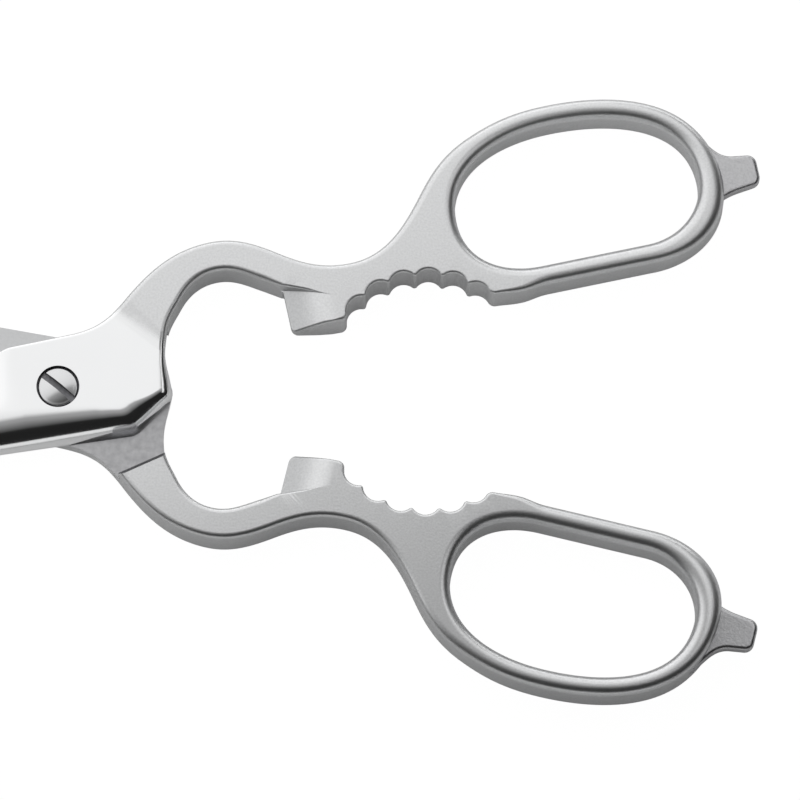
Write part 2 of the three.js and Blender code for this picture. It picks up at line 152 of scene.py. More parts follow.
lapFinish = {
    "groundDark": (0.56, 0.565, 0.57), "groundLight": (0.64, 0.645, 0.65), "groundScale": 2600.0,
    "worn": (0.34, 0.34, 0.35), "wornLight": (0.6, 0.6, 0.61), "wornScale": 1000.0,
    "roughness": 0.4, "depth": 0.25, "groundEnd": -0.002, "wornStart": 0.006,  # metres along X from the pivot
}


def makeLapSteel(name):  # ground face of the blade, rubbed and mottled round the pivot
    material, tree, shader = makeMaterial(name)
    shader.inputs["Metallic"].default_value = 1.0
    shader.inputs["Roughness"].default_value = lapFinish["roughness"]
    fine = addGrain(tree, lapFinish["groundScale"], 2.0)
    coarse = addGrain(tree, lapFinish["wornScale"], 2.0)
    ground = mixColours(tree, fine, lapFinish["groundDark"], lapFinish["groundLight"])
    worn = mixColours(tree, coarse, lapFinish["worn"], lapFinish["wornLight"])
    place = addNode(tree, "ShaderNodeTexCoord")
    along = addNode(tree, "ShaderNodeSeparateXYZ", Vector=place.outputs["Object"])
    share = addNode(tree, "ShaderNodeMapRange", {
        "From Min": pivot.x + lapFinish["groundEnd"], "From Max": pivot.x + lapFinish["wornStart"],
    }, Value=along.outputs["X"])
    tree.links.new(mixColours(tree, share.outputs["Result"], ground, worn), shader.inputs["Base Color"])
    bump = addNode(tree, "ShaderNodeBump", {"Distance": 0.0001, "Strength": lapFinish["depth"]},
                   Height=coarse)
    tree.links.new(bump.outputs["Normal"], shader.inputs["Normal"])
    return material


forgedSteel = makeForgedSteel("forgedSteel")
lapSteel = makeLapSteel("lapSteel")
tabSteel = makeMatteSteel("tabSteel", (0.42, 0.42, 0.43), (0.62, 0.62, 0.63), 0.32, scale=3000.0)
# painted shade: a dark steel colour put in the screw's slot, the bore round the screw head and the bevel of
# the lap's step, where shade falls
paintedShadeSteel = makeMatteSteel("paintedShadeSteel", (0.14, 0.14, 0.15), (0.28, 0.28, 0.29), 0.42)
screwSteel = makeMatteSteel("screwSteel", (0.66, 0.665, 0.67), (0.72, 0.725, 0.73), 0.2, scale=300.0,
                            depth=0.01)


# helpers for solids; halves and screw are built in millimetres about the pivot

def newPiece(name, bm, materials):
    mesh = bpy.data.meshes.new(name)
    bm.to_mesh(mesh)
    bm.free()
    for material in materials:
        mesh.materials.append(material)
    piece = bpy.data.objects.new(name, mesh)
    bpy.context.scene.collection.objects.link(piece)
    return piece


def combine(piece, other, operation):
    join = piece.modifiers.new("join", "BOOLEAN")
    join.operation = operation
    join.solver = "EXACT"
    join.material_mode = "TRANSFER"
    join.object = other
    graph = bpy.context.evaluated_depsgraph_get()
    result = bpy.data.meshes.new_from_object(piece.evaluated_get(graph))
    piece.modifiers.clear()
    old = piece.data
    result.name = old.name
    piece.data = result
    bpy.data.meshes.remove(old)
    bpy.data.objects.remove(other)


def newVerts(made):
    return [g for g in made["geom"] if isinstance(g, bmesh.types.BMVert)]


# outline of a half, walked with the metal on the left

def heading(degrees):
    return Vector((math.cos(math.radians(degrees)), math.sin(math.radians(degrees))))


def rimOf(width, rise, top, crown=0.0):  # crown 1 takes the slow slope of the spine, 0 a quarter round
    return {"rim": width, "rise": rise, "top": top, "crown": crown}


def rounded(radius, top):
    return rimOf(radius, radius, top)


class Outline:
    finest = 1.6  # degrees between stops on a bend
    longest = 0.8  # mm between stops

    def __init__(self, x, y, degrees, rim):
        self.stops = []
        self.addStop(Vector((x, y)), heading(degrees), rim)

    def addStop(self, place, along, rim):
        self.stops.append({"place": place, "out": Vector((along.y, -along.x)), **rim})
        self.at = place
        self.along = along
        self.rim = rim

    def follow(self, places, ways, rim):  # the rim blends from the last one to this one
        old = dict(self.rim)
        count = len(places)
        for i, (place, along) in enumerate(zip(places, ways), 1):
            share = i / count
            blended = {key: old[key] + (rim[key] - old[key]) * share for key in old}
            self.addStop(place, along, blended)
        self.rim = rim
        return len(self.stops) - 1

    def lineTo(self, x, y, rim=None):
        end = Vector((x, y))
        along = (end - self.at).normalized()
        count = max(1, math.ceil((end - self.at).length / self.longest))
        places = [self.at.lerp(end, i / count) for i in range(1, count + 1)]
        return self.follow(places, [along] * count, rim or self.rim)

    def curveTo(self, x, y, degrees, rim=None, pull=0.37, count=None):
        start, end = self.at, Vector((x, y))
        arrive = heading(degrees)
        reach = (end - start).length * pull
        bend = self.along.angle(end - start) + arrive.angle(end - start)
        count = count or max(6, math.ceil(math.degrees(bend) / self.finest),
                             math.ceil((end - start).length / self.longest))
        path = interpolate_bezier(start, start + self.along * reach, end - arrive * reach, end, count + 1)
        path = [Vector(p[:2]) for p in path]
        ways = [(path[i + 1] - path[i - 1]).normalized() for i in range(1, count)] + [arrive]
        return self.follow(path[1:], ways, rim or self.rim)

    def arcAbout(self, centre, radius, first, last, rim=None):
        start = centre + heading(first) * radius
        quarter = 90 if last > first else -90
        if (start - self.at).length > 0.01:
            self.addStop(start, heading(first + quarter), self.rim)
        count = max(4, math.ceil(abs(last - first) / (2 * self.finest)))
        turns = [first + (last - first) * i / count for i in range(1, count + 1)]
        places = [centre + heading(turn) * radius for turn in turns]
        return self.follow(places, [heading(turn + quarter) for turn in turns], rim or self.rim)

    def cornerAt(self, x, y, degrees, radius, rim=None):  # runs straight, then rounds into a new heading
        point = Vector((x, y))
        arrive = (point - self.at).normalized()
        leave = heading(degrees)
        turn = math.atan2(arrive.cross(leave), arrive.dot(leave))
        start = point - arrive * radius * math.tan(abs(turn) / 2)
        self.lineTo(start.x, start.y, rim)
        side = math.copysign(radius, turn)
        centre = start + Vector((-arrive.y, arrive.x)) * side
        first = math.degrees(math.atan2(start.y - centre.y, start.x - centre.x))
        return self.arcAbout(centre, radius, first, first + math.degrees(turn), rim)


# a plate between an outline and its hole, with a rounded rim along both faces

rimSteps = 18
spineArcs = ((10.0, 9.2), (27.0, 6.5), (68.0, 5.3))  # degrees reached, radius in mm


def spinePlace(degrees):  # mm across and down from the flat face, where the spine has turned this far
    across = down = start = 0.0
    for end, radius in spineArcs:
        low, high = math.radians(start), math.radians(min(degrees, end))
        if degrees > start:
            across += radius * (math.sin(high) - math.sin(low))
            down += radius * (math.cos(low) - math.cos(high))
        start = end
    return across, down


spineSize = spinePlace(spineArcs[-1][0])


def roundStep(k):  # inset and drop of a quarter round, from the wall to the face
    turn = math.pi / 2 * k / rimSteps
    return 1 - math.cos(turn), 1 - math.sin(turn)


def crownStep(k):
    across, down = spinePlace(spineArcs[-1][0] * (1 - k / rimSteps) ** 1.15)
    return 1 - across / spineSize[0], down / spineSize[1]


def rimRows(bottom):
    rows = []
    for k in range(rimSteps, -1, -1):
        rows.append((roundStep(k), roundStep(k), bottom))
    for k in range(rimSteps + 1):
        rows.append((roundStep(k), crownStep(k), None))
    return rows


def rimPlace(stop, row):
    plain, crowned, bottom = row
    inset, drop = (a + (b - a) * stop["crown"] for a, b in zip(plain, crowned))
    flat = stop["place"] - stop["out"] * stop["rim"] * inset
    z = stop["top"] - stop["rise"] * drop if bottom is None else bottom + stop["rise"] * drop
    return Vector((flat.x, flat.y, z))


def raiseWall(bm, stops, rows):
    number = bm.verts.layers.int.get("stop") or bm.verts.layers.int.new("stop")
    ring = [bm.verts.new(rimPlace(stop, rows[0])) for stop in stops]
    for i, vert in enumerate(ring):
        vert[number] = i
    low = [bm.edges.new((ring[i - 1], ring[i])) for i in range(len(ring))]
    edges = low
    for row in rows[1:]:
        made = bmesh.ops.extrude_edge_only(bm, edges=edges)
        verts = newVerts(made)
        for vert in verts:
            vert.co = rimPlace(stops[vert[number]], row)
        fresh = set(verts)
        edges = [g for g in made["geom"] if isinstance(g, bmesh.types.BMEdge) and fresh.issuperset(g.verts)]
    top = sorted(verts, key=lambda vert: vert[number])
    return low, top


def chain(bm, verts):
    return [bm.edges.get(pair) or bm.edges.new(pair) for pair in zip(verts, verts[1:])]


def fillFlat(bm, edges):
    bmesh.ops.triangle_fill(bm, edges=edges, use_beauty=True)


# one half: blade, pivot plate, arch, lug, grip, loop and end tab

half = {
    "thickness": 8.0, "plate": 3.6, "lapGap": 0.1, "stopGap": 0.1,
    "spineOffset": 8.6, "edgeOffset": 7.8, "bendRim": 0.7, "spineEase": 5.0,
    "bladeLength": 88.0, "bladeTaper": 3.4, "heelX": -6.0, "runOut": 15.0, "heelRim": 0.6,
    "tipThickness": 1.5, "tipHeight": 1.2, "edgeLand": 0.15, "bladeSections": 70,
    "archX": 27.5, "archTop": 17.75, "archWidth": 4.8, "archLeft": 10.2, "archRight": 9.6,
    "lugDrop": 4.3, "lugFloor": 1.5, "lugRun": 7.4, "lugTip": 1.8, "lugEase": 4.0, "lugShadeFade": 2.4,
    "lugStart": 0.6, "lugRise": 0.05, "lugSlant": 3.35, "lugRim": 0.5, "lugSteps": 24, "lugArc": 12,
    "lugLift": 0.002, "rimLift": 0.006, "floorFall": 0.031, "leastRim": 0.3,
    "gripRadius": 16.2, "gripTop": 6.8, "gripReach": 18.9, "gripTurn": 4.9,
    "hollows": 6, "hollowPitch": 15.8, "hollowRadius": 2.3, "toothRound": 0.5,
    "neckReach": 10.9, "neckTop": 10.0,
    "loopReach": 9.45, "loopLength": 38.0, "loopWidth": 21.9, "loopLift": 0.5,
    "ringWidth": 3.1, "ringSwell": 1.0, "holeRim": 1.7, "ringRim": 1.35,
    "tabLength": 6.47, "tabWidth": 5.8, "tabThickness": 2.4,
    "handleRim": 0.9, "gripRim": 0.45, "rampSteps": 20, "stepBevel": (0.6, 0.85), "stepTurn": -38.3,
}
faceZ = half["thickness"] / 2
lapZ = half["lapGap"] / 2
plateZ = half["plate"]
archX = half["archX"]
lugX = archX + half["archRight"]
archInside = half["archTop"] - half["archWidth"]
lugRootY = archInside - half["lugDrop"]
loopX = lugX + half["gripReach"] + half["loopReach"]
holeBottom = half["loopLift"] + half["ringWidth"]
holeRim = rounded(half["holeRim"], faceZ)
ringRim = rounded(half["ringRim"], faceZ)


def spineAt(x):
    return -half["spineOffset"] - math.tan(math.radians(half["bladeTaper"])) * x


def smoothShare(share):
    share = min(1.0, max(0.0, share))
    return share * share * (3 - 2 * share)


def fingerHole():
    left, right = loopX, loopX + half["loopLength"]
    low, high = holeBottom, holeBottom + half["loopWidth"]
    middle = low + 0.43 * half["loopWidth"]
    start = left + 0.74 * half["loopLength"]
    walk = Outline(start, low, 180, holeRim)
    flatEnd = walk.lineTo(left + 0.3 * half["loopLength"], low)
    walk.curveTo(left, middle, 90, pull=0.42)
    top = walk.curveTo(left + 0.46 * half["loopLength"], high, 0, pull=0.42)
    walk.curveTo(right, middle, -90, pull=0.4)
    walk.curveTo(start, low, 180, pull=0.4)
    walk.stops.pop()
    return walk.stops, flatEnd, top


def addGrip(walk):  # hollows round an arc, with a rounded tooth between neighbours
    count, pitch, radius = half["hollows"], half["hollowPitch"], half["hollowRadius"]
    centre = Vector((lugX + half["gripReach"], half["gripTop"] - half["gripRadius"]))
    reach = half["gripRadius"] - radius
    turns = [90 - half["gripTurn"] - (i - (count - 1) / 2) * pitch for i in range(count)]
    hollows = [centre + heading(turn) * reach for turn in turns]

    def endTooth(hollow, y, toothRadius, side):
        x = hollow.x + side * math.sqrt((radius + toothRadius) ** 2 - (hollow.y - y) ** 2)
        return Vector((x, y)), toothRadius

    def bearing(start, end):
        degrees = math.degrees(math.atan2(end.y - start.y, end.x - start.x))
        return degrees - 360 if degrees > 90 else degrees

    halfPitch = math.radians(pitch / 2)
    toothReach = reach * math.cos(halfPitch) + math.sqrt(
        (radius + half["toothRound"]) ** 2 - (reach * math.sin(halfPitch)) ** 2)
    teeth = [endTooth(hollows[0], half["lugFloor"] + 0.85, 1.1, -1)]
    for first, second in zip(turns, turns[1:]):
        teeth.append((centre + heading((first + second) / 2) * toothReach, half["toothRound"]))
    teeth.append(endTooth(hollows[-1], half["stopGap"] / 2 + 1.6, 1.2, 1))
    fine = rounded(half["gripRim"], faceZ)
    for i, (tooth, toothRadius) in enumerate(teeth):
        first = -92 if i == 0 else bearing(tooth, hollows[i - 1])
        last = -94 if i == count else bearing(tooth, hollows[i])
        walk.arcAbout(tooth, toothRadius, first, last + 360 if last < first else last, fine)
        if i < count:
            enter, leave = bearing(hollows[i], tooth), bearing(hollows[i], teeth[i + 1][0])
            walk.arcAbout(hollows[i], radius, enter + 360 if enter < leave else enter, leave, fine)


def addRing(walk, hole, flatEnd, top):  # follows the finger hole and swells towards the end tab
    swellTo = heading(-32)
    i = flatEnd
    started = False
    while True:
        stop = hole[i]
        swell = half["ringSwell"] * max(0.0, -stop["out"].dot(swellTo)) ** 4
        place = stop["place"] - stop["out"] * (half["ringWidth"] + swell)
        if started:
            along = Vector((stop["out"].y, -stop["out"].x))
            walk.addStop(place, along, rimOf(half["ringRim"] + swell, half["ringRim"] + swell / 2, faceZ))
        else:
            walk.curveTo(place.x, place.y, 0, ringRim)
            started = True
        if i == top:
            break
        i = (i - 1) % len(hole)


def handleWalk(hole, flatEnd, top):
    handle = rounded(half["handleRim"], faceZ)
    low = rounded(half["handleRim"], plateZ)
    marks = {}
    spine = rimOf(*spineSize, plateZ, 1.0)
    bent = rimOf(half["bendRim"] * spineSize[0], spineSize[1], plateZ, 1.0)
    walk = Outline(half["heelX"], spineAt(half["heelX"]), 0, spine)
    bend = archX - 17.1
    walk.cornerAt(bend, spineAt(bend), 35, 3, bent)
    walk.cornerAt(archX - half["archLeft"] - 0.3, spineAt(0) + 3.9, 86, 1.6, rimOf(2.2, 2.2, plateZ, 0.6))
    marks["innerCrease"] = walk.curveTo(archX - 10.3, 2.2, 80, low)
    marks["innerFace"] = walk.curveTo(archX - 9.5, 5, 72, handle, count=half["rampSteps"])
    walk.curveTo(archX - 6.2, archInside - 3.1, 50)
    walk.curveTo(archX, archInside, 0)
    walk.curveTo(lugX - 2.6, archInside - 3.0, -31)
    walk.cornerAt(lugX, lugRootY - 0.3, -90, 0.8, rounded(0.6, faceZ))
    walk.cornerAt(lugX, half["lugFloor"], -2, 1.2, rounded(0.5, faceZ))
    addGrip(walk)
    walk.curveTo(loopX + 0.2 * half["loopLength"], half["stopGap"] / 2, 0, handle)
    addRing(walk, hole, flatEnd, top)
    walk.curveTo(loopX + 4.5, holeBottom + half["loopWidth"] + 0.5, 203, ringRim)
    walk.curveTo(loopX - 4.5, holeBottom + 0.69 * half["loopWidth"], 232, rounded(1.2, faceZ))
    walk.curveTo(lugX + half["neckReach"], half["neckTop"], 180, handle)
    walk.curveTo(archX + 10.2, (half["archTop"] + half["neckTop"]) / 2 - 0.2, 145)
    walk.curveTo(archX, half["archTop"], 180)
    marks["outerFace"] = walk.curveTo(archX - 14.3, half["archTop"] - 6, 219)
    marks["outerCrease"] = walk.curveTo(archX - 17.2, half["archTop"] - 8.1, 212, rounded(0.8, plateZ),
                                        count=half["rampSteps"])
    walk.curveTo(3, half["edgeOffset"], 180, rounded(half["heelRim"], plateZ))
    walk.lineTo(half["heelX"], half["edgeOffset"])
    return walk.stops, marks


def easeSpine(stops):  # turns the wide rim slowly round the bend, so that it never folds over itself
    eased = []
    for stop in stops:
        near = [other["out"] for other in stops
                if (other["place"] - stop["place"]).length < half["spineEase"]]
        eased.append(sum(near, Vector((0, 0))).normalized().lerp(stop["out"], 1 - stop["crown"]))
    for stop, out in zip(stops[1:], eased[1:]):
        stop["out"] = out


def buildHandle():
    hole, flatEnd, top = fingerHole()
    stops, marks = handleWalk(hole, flatEnd, top)
    easeSpine(stops[:marks["innerCrease"]])
    bm = bmesh.new()
    rows = rimRows(-faceZ)
    low, rim = raiseWall(bm, stops, rows)
    holeLow, holeRim = raiseWall(bm, hole, rows)
    fillFlat(bm, low + holeLow)
    inner = chain(bm, rim[marks["innerCrease"]:marks["innerFace"] + 1])
    outer = chain(bm, rim[marks["outerFace"]:marks["outerCrease"] + 1])
    bmesh.ops.bridge_loops(bm, edges=inner + outer)
    plate = rim[marks["outerCrease"]:] + rim[:marks["innerCrease"] + 1]
    fillFlat(bm, chain(bm, plate + plate[:1]))
    handle = rim[marks["innerFace"]:marks["outerFace"] + 1]
    fillFlat(bm, chain(bm, handle + handle[:1]) + chain(bm, holeRim + holeRim[:1]))
    bmesh.ops.recalc_face_normals(bm, faces=bm.faces)
    crease = (stops[marks["innerCrease"]]["place"], stops[marks["outerCrease"]]["place"])
    return newPiece("handle", bm, [forgedSteel]), crease


def bladeSection(share):  # corners of one cut across the blade, edge first
    reach = half["bladeLength"] + half["heelX"]
    x = half["heelX"] - reach * share
    edge = half["edgeOffset"] + (half["tipHeight"] / 2 - half["edgeOffset"]) * share
    bow = max(0.0, 2 * share - 1) ** 3
    spine = spineAt(x) + (edge - half["tipHeight"] - spineAt(x)) * bow
    thick = plateZ + (half["tipThickness"] - plateZ) * share
    rim = min(spineSize[0], 0.45 * (edge - spine))
    rise = spineSize[1] * (thick - lapZ) / (plateZ - lapZ)
    out = min(1.0, reach * share / half["runOut"])
    fall = (plateZ - 0.7) / (half["edgeOffset"] + half["spineOffset"] - spineSize[0])
    grindTop = edge - half["heelRim"] + (spine + rim + 0.05 - edge + half["heelRim"]) * (1 - (1 - out) ** 6)
    bevelTop = max(lapZ + 0.45, thick - (edge - grindTop) * fall)
    sharp = smoothShare(out / 0.4)
    corners = [(edge, lapZ)]
    for k in range(rimSteps + 1):
        part = k / rimSteps
        turn = math.pi / 2 * part
        blunt = (edge - half["heelRim"] * (1 - math.cos(turn)),
                 thick - half["heelRim"] * (1 - math.sin(turn)))
        keen = (edge - 0.5 * part, lapZ + half["edgeLand"] + (bevelTop - lapZ - half["edgeLand"]) * part)
        corners.append(Vector(blunt).lerp(Vector(keen), sharp))
    corners.append((grindTop - 0.05, thick))
    for k in range(rimSteps, -1, -1):
        inset, drop = crownStep(k)
        corners.append((spine + rim * inset, thick - rise * drop))
    corners.append((spine, lapZ))
    return [Vector((x, y, z)) for y, z in corners]


def buildBlade():
    bm = bmesh.new()
    count = half["bladeSections"]
    last = None
    for i in range(count + 1):
        ring = [bm.verts.new(corner) for corner in bladeSection((i / count) ** 1.8)]
        edges = chain(bm, ring + ring[:1])
        if last:
            bmesh.ops.bridge_loops(bm, edges=last + edges)
        else:
            bmesh.ops.contextual_create(bm, geom=edges)
        last = edges
    bmesh.ops.contextual_create(bm, geom=last)
    bmesh.ops.recalc_face_normals(bm, faces=bm.faces)
    for face in bm.faces:
        if face.normal.z < -0.9:
            face.material_index = 1
    return newPiece("blade", bm, [forgedSteel, lapSteel])


def buildTab():
    wall = loopX + half["loopLength"] + 0.5 * half["ringWidth"]
    end = loopX + half["loopLength"] + half["ringWidth"] + half["tabLength"]
    y = holeBottom + 0.4 * half["loopWidth"]
    flank = half["tabWidth"] / 2
    top = half["tabThickness"] / 2
    walk = Outline(wall - 2.4, y - 6.6, 50, rounded(0.65, top))
    walk.curveTo(end - 3.8, y - flank + 0.1, 8)
    walk.cornerAt(end, y - flank + 0.6, 90, 1.5)
    walk.cornerAt(end, y + flank - 0.6, 166, 1.5)
    walk.lineTo(end - 3.4, y + flank)
    walk.curveTo(wall - 0.6, y + flank + 5.2, 132)
    walk.lineTo(wall - 0.6, y + 2)
    walk.lineTo(wall - 1, y - 4)
    bm = bmesh.new()
    low, rim = raiseWall(bm, walk.stops, rimRows(-top))
    fillFlat(bm, low)
    fillFlat(bm, chain(bm, rim + rim[:1]))
    bmesh.ops.recalc_face_normals(bm, faces=bm.faces)
    return newPiece("tab", bm, [tabSteel])


def buildLap():  # the other half slides in this space, up to a straight step with a bevelled edge
    wide, deep = half["stepBevel"]
    below = -2 * faceZ
    profile = [(-60, lapZ), (-60, below), (wide + (below + faceZ) * -wide / deep, below), (wide, -faceZ),
               (0, -faceZ + deep), (0, lapZ)]
    bm = bmesh.new()
    face = bm.faces.new([bm.verts.new((-45, y, z)) for y, z in profile])
    made = bmesh.ops.extrude_face_region(bm, geom=[face])
    bmesh.ops.translate(bm, verts=newVerts(made), vec=(90, 0, 0))
    bmesh.ops.rotate(bm, verts=bm.verts, matrix=Matrix.Rotation(math.radians(half["stepTurn"]), 3, "Z"))
    bmesh.ops.translate(bm, verts=bm.verts, vec=(archX - 15.2, half["archTop"] - 6.7, 0))
    bmesh.ops.recalc_face_normals(bm, faces=bm.faces)
    # the bevel of the step takes the painted shade colour, a dark line where shade falls
    for face in bm.faces:
        if 0.1 < abs(face.normal.z) < 0.9:
            face.material_index = 1
    return newPiece("lap", bm, [lapSteel, paintedShadeSteel])


def buildWedge(side):  # thins the lug towards the arch, and rounds its root and its lower edge
    left, right = lugX - half["lugStart"], lugX + half["lugRun"]
    slope = (faceZ - half["lugTip"] / 2) / (half["lugRun"] - half["lugEase"] / 2)
    turns = [math.pi / 2 * k / half["lugArc"] for k in range(half["lugArc"] + 1)]
    outside, above = half["lugFloor"] - 2, 2 * faceZ
    top = faceZ + half["rimLift"]
    bm = bmesh.new()
    rows = []
    for i in range(half["lugSteps"] + 1):
        share = i / half["lugSteps"]
        x = right + (left - right) * share
        eased = min(right - x, half["lugEase"])
        drop = slope * (eased ** 2 / (2 * half["lugEase"]) + max(0.0, right - x - half["lugEase"]))
        z = faceZ + half["lugLift"] - drop
        root = lugRootY + half["lugRise"] - half["lugSlant"] * (1 - share)
        floor = half["lugFloor"] - half["floorFall"] * (x - lugX)
        rim = half["lugLift"] + min(half["lugRim"], drop / 2)
        edge = min(half["lugRim"], half["leastRim"] + drop / 2)
        section = [(outside, z - edge)]
        section += [(floor + edge * (1 - math.cos(t)), z - edge * (1 - math.sin(t))) for t in turns]
        section += [(root, z)]
        section += [(root + rim * (1 - math.cos(t)), top - rim * (1 - math.sin(t))) for t in turns]
        section += [(root + rim, above), (outside, above)]
        rows.append([bm.verts.new((x, y, side * height)) for y, height in section])
    for first, second in zip(rows, rows[1:]):
        for k in range(len(first)):
            bm.faces.new((first[k - 1], first[k], second[k], second[k - 1]))
    bm.faces.new(rows[0])
    bm.faces.new(rows[-1])
    bmesh.ops.recalc_face_normals(bm, faces=bm.faces)
    return newPiece("wedge", bm, [forgedSteel])


# pivot screw: slotted lens head let into the upper half, plain shank below

screw = {
    "headDiameter": 6.15, "headHeight": 1.4, "sink": 0.22, "crown": 0.58, "shankDiameter": 4.0,
    "slotWidth": 1.05, "slotDepth": 0.9, "slotAngle": -39.0, "gap": 0.22, "rim": 0.35, "turns": 96,
}
seatZ = plateZ - screw["headHeight"]


def buildDrum(diameter, low, high, material):
    bm = bmesh.new()
    bmesh.ops.create_cone(bm, cap_ends=True, segments=screw["turns"], radius1=diameter / 2,
                          radius2=diameter / 2, depth=high - low)
    bmesh.ops.translate(bm, verts=bm.verts, vec=(0, 0, (low + high) / 2))
    return newPiece("drum", bm, [material])


def buildScrew():
    radius, shank = screw["headDiameter"] / 2, screw["shankDiameter"] / 2
    bottom = -plateZ + 0.1
    under = seatZ + screw["gap"] / 2
    brim = plateZ - screw["sink"]
    profile = [(0, bottom), (shank - 0.3, bottom), (shank, bottom + 0.3), (shank, under), (radius, under)]
    for k in range(6):
        turn = math.pi / 2 * k / 5
        profile.append((radius - screw["rim"] * (1 - math.cos(turn)),
                        brim - screw["rim"] * (1 - math.sin(turn))))
    for k in range(1, 13):
        part = 1 - k / 12
        x = (radius - screw["rim"]) * part
        profile.append((x, brim + screw["crown"] * (1 - part ** 2)))
    bm = bmesh.new()
    verts = [bm.verts.new((x, 0, z)) for x, z in profile]
    edges = chain(bm, verts)
    bmesh.ops.spin(bm, geom=verts + edges, cent=(0, 0, 0), axis=(0, 0, 1), angle=2 * math.pi,
                   steps=screw["turns"], use_merge=True)
    bmesh.ops.remove_doubles(bm, verts=bm.verts, dist=0.0001)
    bmesh.ops.recalc_face_normals(bm, faces=bm.faces)
    piece = newPiece("pivotScrew", bm, [screwSteel])
    bm = bmesh.new()
    bmesh.ops.create_cube(bm, size=1)
    bmesh.ops.scale(bm, verts=bm.verts, vec=(screw["headDiameter"] + 1, screw["slotWidth"], 2))
    bmesh.ops.translate(bm, verts=bm.verts, vec=(0, 0, plateZ - screw["slotDepth"] + 1))
    bmesh.ops.rotate(bm, verts=bm.verts, matrix=Matrix.Rotation(math.radians(screw["slotAngle"]), 3, "Z"))
    # the slot's walls and floor take the painted shade colour
    combine(piece, newPiece("slot", bm, [paintedShadeSteel]), "DIFFERENCE")
    return piece


# shading data, place in the row frame, and what each piece stands for

def finishPiece(piece, place):
    mesh = piece.data
    bm = bmesh.new()
    bm.from_mesh(mesh)
    bmesh.ops.remove_doubles(bm, verts=bm.verts, dist=0.0005)
    bmesh.ops.dissolve_degenerate(bm, dist=0.0005, edges=bm.edges)
    bm.to_mesh(mesh)
    bm.free()
    mesh.transform(place)
    mesh.shade_smooth()
    mesh.set_sharp_from_angle(angle=math.radians(32))
    even = piece.modifiers.new("evenNormals", "WEIGHTED_NORMAL")
    even.keep_sharp = True
    even.weight = 80


def markLugShade(piece):  # painted shade: grows from 0 to 1 down the slope of the lug, and darkens the steel colour there
    lugShade = piece.data.attributes.new("lugShade", "FLOAT", "POINT")
    for vert, value in zip(piece.data.vertices, lugShade.data):
        onLug = 0 <= vert.co.x - lugX + 0.1 <= half["lugRun"]
        onLug = onLug and half["lugFloor"] - 0.1 <= vert.co.y <= lugRootY
        value.value = smoothShare((faceZ - abs(vert.co.z)) / half["lugShadeFade"]) if onLug else 0.0


def markPolish(piece, crease):  # 1 on pivot plate and blade, 0 on the satin handle
    start, end = crease
    across = Vector((end.y - start.y, start.x - end.x)).normalized()
    if across.dot(Vector((1, 0))) < 0:
        across.negate()
    polish = piece.data.attributes.new("polish", "FLOAT", "POINT")
    for vert, value in zip(piece.data.vertices, polish.data):
        beyond = (vert.co.xy - start).dot(across)
        value.value = 1 - smoothShare((beyond - 0.2) / 1.6)


common, crease = buildHandle()
print("handle walled and capped:", len(common.data.polygons), "faces")
combine(common, buildLap(), "DIFFERENCE")
combine(common, buildWedge(1), "DIFFERENCE")
combine(common, buildWedge(-1), "DIFFERENCE")
combine(common, buildBlade(), "UNION")
combine(common, buildTab(), "UNION")
print("half joined:", len(common.data.polygons), "faces")

towardRow = Matrix.Translation(pivot) @ Matrix.Scale(mm, 4)
turn = math.radians(openAngle / 2)
upperPlace = towardRow @ Matrix.Rotation(turn, 4, "Z")
lowerPlace = towardRow @ Matrix.Rotation(-turn, 4, "Z") @ Matrix.Rotation(math.pi, 4, "X")

shankBore = buildDrum(screw["shankDiameter"] + 2 * screw["gap"], -1, plateZ + 1, lapSteel)
combine(common, shankBore, "DIFFERENCE")
lowerHalf = common
lowerHalf.name = "lowerHalf"
upperHalf = common.copy()
upperHalf.data = common.data.copy()
upperHalf.name = "upperHalf"
bpy.context.scene.collection.objects.link(upperHalf)
# the bore round the screw head takes the painted shade colour
headBore = buildDrum(screw["headDiameter"] + 2 * screw["gap"], seatZ, plateZ + 1, paintedShadeSteel)
combine(upperHalf, headBore, "DIFFERENCE")
for piece, place in ((lowerHalf, lowerPlace), (upperHalf, upperPlace)):
    markPolish(piece, crease)
    markLugShade(piece)
    finishPiece(piece, place)
pivotScrew = buildScrew()
finishPiece(pivotScrew, towardRow)

dressed = (
    (lowerHalf, "lower", "lower_half", "lower_steel"),
    (upperHalf, "upper", "upper_half", "upper_steel"),
    (pivotScrew, "lower", "pivot_screw", "screw_steel"),
)
for piece, body, node, slot in dressed:
    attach(piece, body)
    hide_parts(node)
    print(piece.name, "stands for", node, "with", len(piece.data.polygons), "faces")


# floor, light and camera

floorLook = {  # even is the share of plain white that each kind of ray meets; the rest takes shadow
    "size": 6.0, "colour": (0.86, 0.86, 0.86, 1.0), "white": 1.05,
    "even": {"Is Camera Ray": 0.94, "Is Glossy Ray": 0.1, "Is Transmission Ray": 0.9},
}


def makeFloor():
    bm = bmesh.new()
    bmesh.ops.create_grid(bm, x_segments=1, y_segments=1, size=floorLook["size"] / 2)
    material, tree, shader = makeMaterial("paleFloor")
    shader.inputs["Base Color"].default_value = floorLook["colour"]
    shader.inputs["Roughness"].default_value = 0.9
    rays = addNode(tree, "ShaderNodeLightPath")
    share = None
    for way, amount in floorLook["even"].items():
        part = addNode(tree, "ShaderNodeMath", {"operation": "MULTIPLY_ADD"})
        tree.links.new(rays.outputs[way], part.inputs[0])
        part.inputs[1].default_value = amount
        part.inputs[2].default_value = 0.0
        if share:
            tree.links.new(share, part.inputs[2])
        share = part.outputs["Value"]
    white = addNode(tree, "ShaderNodeEmission")
    white.inputs["Strength"].default_value = floorLook["white"]
    blend = addNode(tree, "ShaderNodeMixShader")
    tree.links.new(share, blend.inputs["Fac"])
    tree.links.new(shader.outputs["BSDF"], blend.inputs[1])
    tree.links.new(white.outputs["Emission"], blend.inputs[2])
    tree.links.new(blend.outputs["Shader"], tree.nodes["Material Output"].inputs["Surface"])
    floor = newPiece("floor", bm, [material])
    floor.location.z = cadBox[0].z - 0.0001


